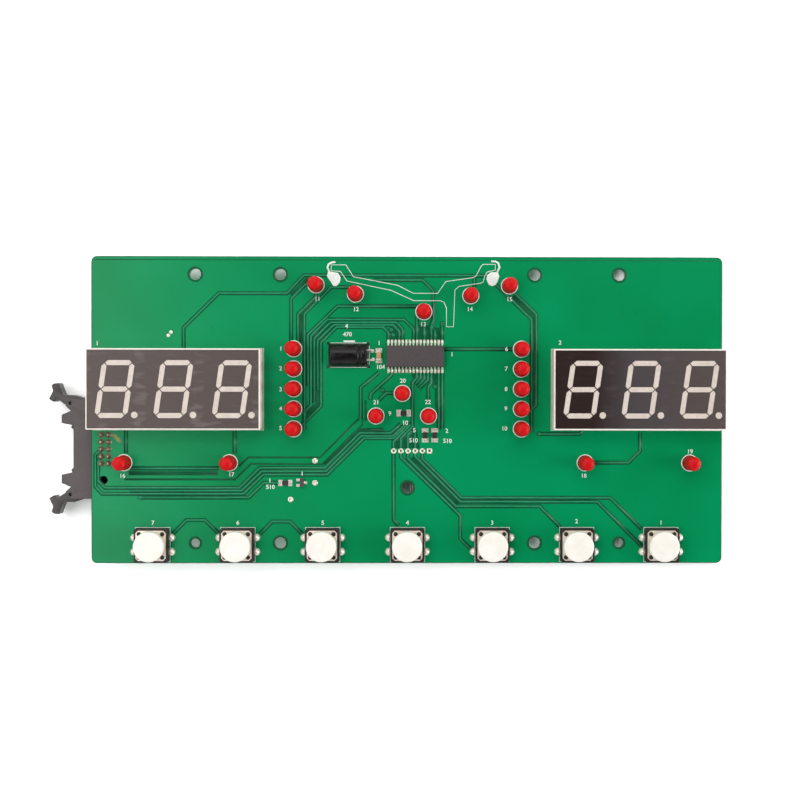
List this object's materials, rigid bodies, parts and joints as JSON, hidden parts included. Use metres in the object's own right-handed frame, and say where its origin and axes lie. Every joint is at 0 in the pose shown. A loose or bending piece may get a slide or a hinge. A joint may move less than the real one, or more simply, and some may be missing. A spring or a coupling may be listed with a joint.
{
  "type": "display and keypad board",
  "caption": "Flat circuit board with digit readouts, red indicator lamps, a row of push keys along one edge and a latched ribbon-cable header underneath.",
  "frame": {"origin": "centre of the four inner mounting holes, on the board's underside", "axes": "+X along the board away from the ribbon header, +Y from the keys to the rim drawing, +Z out of the component face"},
  "size_m": [0.2393, 0.1085, 0.0192],
  "materials": {
    "laminate": "satin solder mask",
    "white_shell": "moulded",
    "dark_face": "printed matt",
    "cream_bar": "cast resin",
    "carrier_board": "laminate",
    "tinned_metal": "tinned",
    "red_lens": "diffused",
    "black_base": "moulded",
    "switch_metal": "stamped",
    "white_cap": "moulded",
    "chip_black": "moulded",
    "can_sleeve": "shrink sleeve",
    "bung_rubber": "matt",
    "tan_ceramic": "fired",
    "resistor_glaze": "glazed",
    "header_grey": "moulded"
  },
  "bodies": {
    "board": {"circuit_board": "laminate", "left_display_housing": "white_shell", "left_display_face": "dark_face", "left_display_segments": "cream_bar", "left_display_carrier": "carrier_board", "left_display_pins": "tinned_metal", "right_display_housing": "white_shell", "right_display_face": "dark_face", "right_display_segments": "cream_bar", "right_display_carrier": "carrier_board", "right_display_pins": "tinned_metal", "lamp_lenses": "red_lens", "lamp_leads": "tinned_metal", "switch_bases": "black_base", "switch_covers": "switch_metal", "switch_domes": "switch_metal", "switch_terminals": "tinned_metal", "driver_chip_body": "chip_black", "driver_chip_leads": "tinned_metal", "capacitor_can": "can_sleeve", "capacitor_bung": "bung_rubber", "capacitor_leads": "tinned_metal", "ceramic_capacitor_body": "tan_ceramic", "ceramic_capacitor_ends": "tinned_metal", "resistor_bodies": "resistor_glaze", "resistor_ends": "tinned_metal", "transistor_body": "chip_black", "transistor_leads": "tinned_metal", "header_shroud": "header_grey", "header_pins": "tinned_metal"},
    "key_1": {"key_stem_1": "black_base", "key_cap_1": "white_cap"},
    "key_2": {"key_stem_2": "black_base", "key_cap_2": "white_cap"},
    "key_3": {"key_stem_3": "black_base", "key_cap_3": "white_cap"},
    "key_4": {"key_stem_4": "black_base", "key_cap_4": "white_cap"},
    "key_5": {"key_stem_5": "black_base", "key_cap_5": "white_cap"},
    "key_6": {"key_stem_6": "black_base", "key_cap_6": "white_cap"},
    "key_7": {"key_stem_7": "black_base", "key_cap_7": "white_cap"},
    "upper_latch": {"upper_latch": "header_grey"},
    "lower_latch": {"lower_latch": "header_grey"}
  },
  "joints": [
    {"name": "key_1_press", "type": "slide", "parent": "board", "child": "key_1", "axis": [0, 0, -1], "range_m": [0, 0.0003], "stiffness_N_per_m": 2000},
    {"name": "key_2_press", "type": "slide", "parent": "board", "child": "key_2", "axis": [0, 0, -1], "range_m": [0, 0.0003], "stiffness_N_per_m": 2000},
    {"name": "key_3_press", "type": "slide", "parent": "board", "child": "key_3", "axis": [0, 0, -1], "range_m": [0, 0.0003], "stiffness_N_per_m": 2000},
    {"name": "key_4_press", "type": "slide", "parent": "board", "child": "key_4", "axis": [0, 0, -1], "range_m": [0, 0.0003], "stiffness_N_per_m": 2000},
    {"name": "key_5_press", "type": "slide", "parent": "board", "child": "key_5", "axis": [0, 0, -1], "range_m": [0, 0.0003], "stiffness_N_per_m": 2000},
    {"name": "key_6_press", "type": "slide", "parent": "board", "child": "key_6", "axis": [0, 0, -1], "range_m": [0, 0.0003], "stiffness_N_per_m": 2000},
    {"name": "key_7_press", "type": "slide", "parent": "board", "child": "key_7", "axis": [0, 0, -1], "range_m": [0, 0.0003], "stiffness_N_per_m": 2000},
    {"name": "upper_latch_swing", "type": "hinge", "parent": "board", "child": "upper_latch", "pos_m": [-0.1195, 0.0019, -0.0045], "axis": [0, 0, 1], "range_deg": [0, 35]},
    {"name": "lower_latch_swing", "type": "hinge", "parent": "board", "child": "lower_latch", "pos_m": [-0.1195, -0.0305, -0.0045], "axis": [0, 0, -1], "range_deg": [0, 35]}
  ]
}
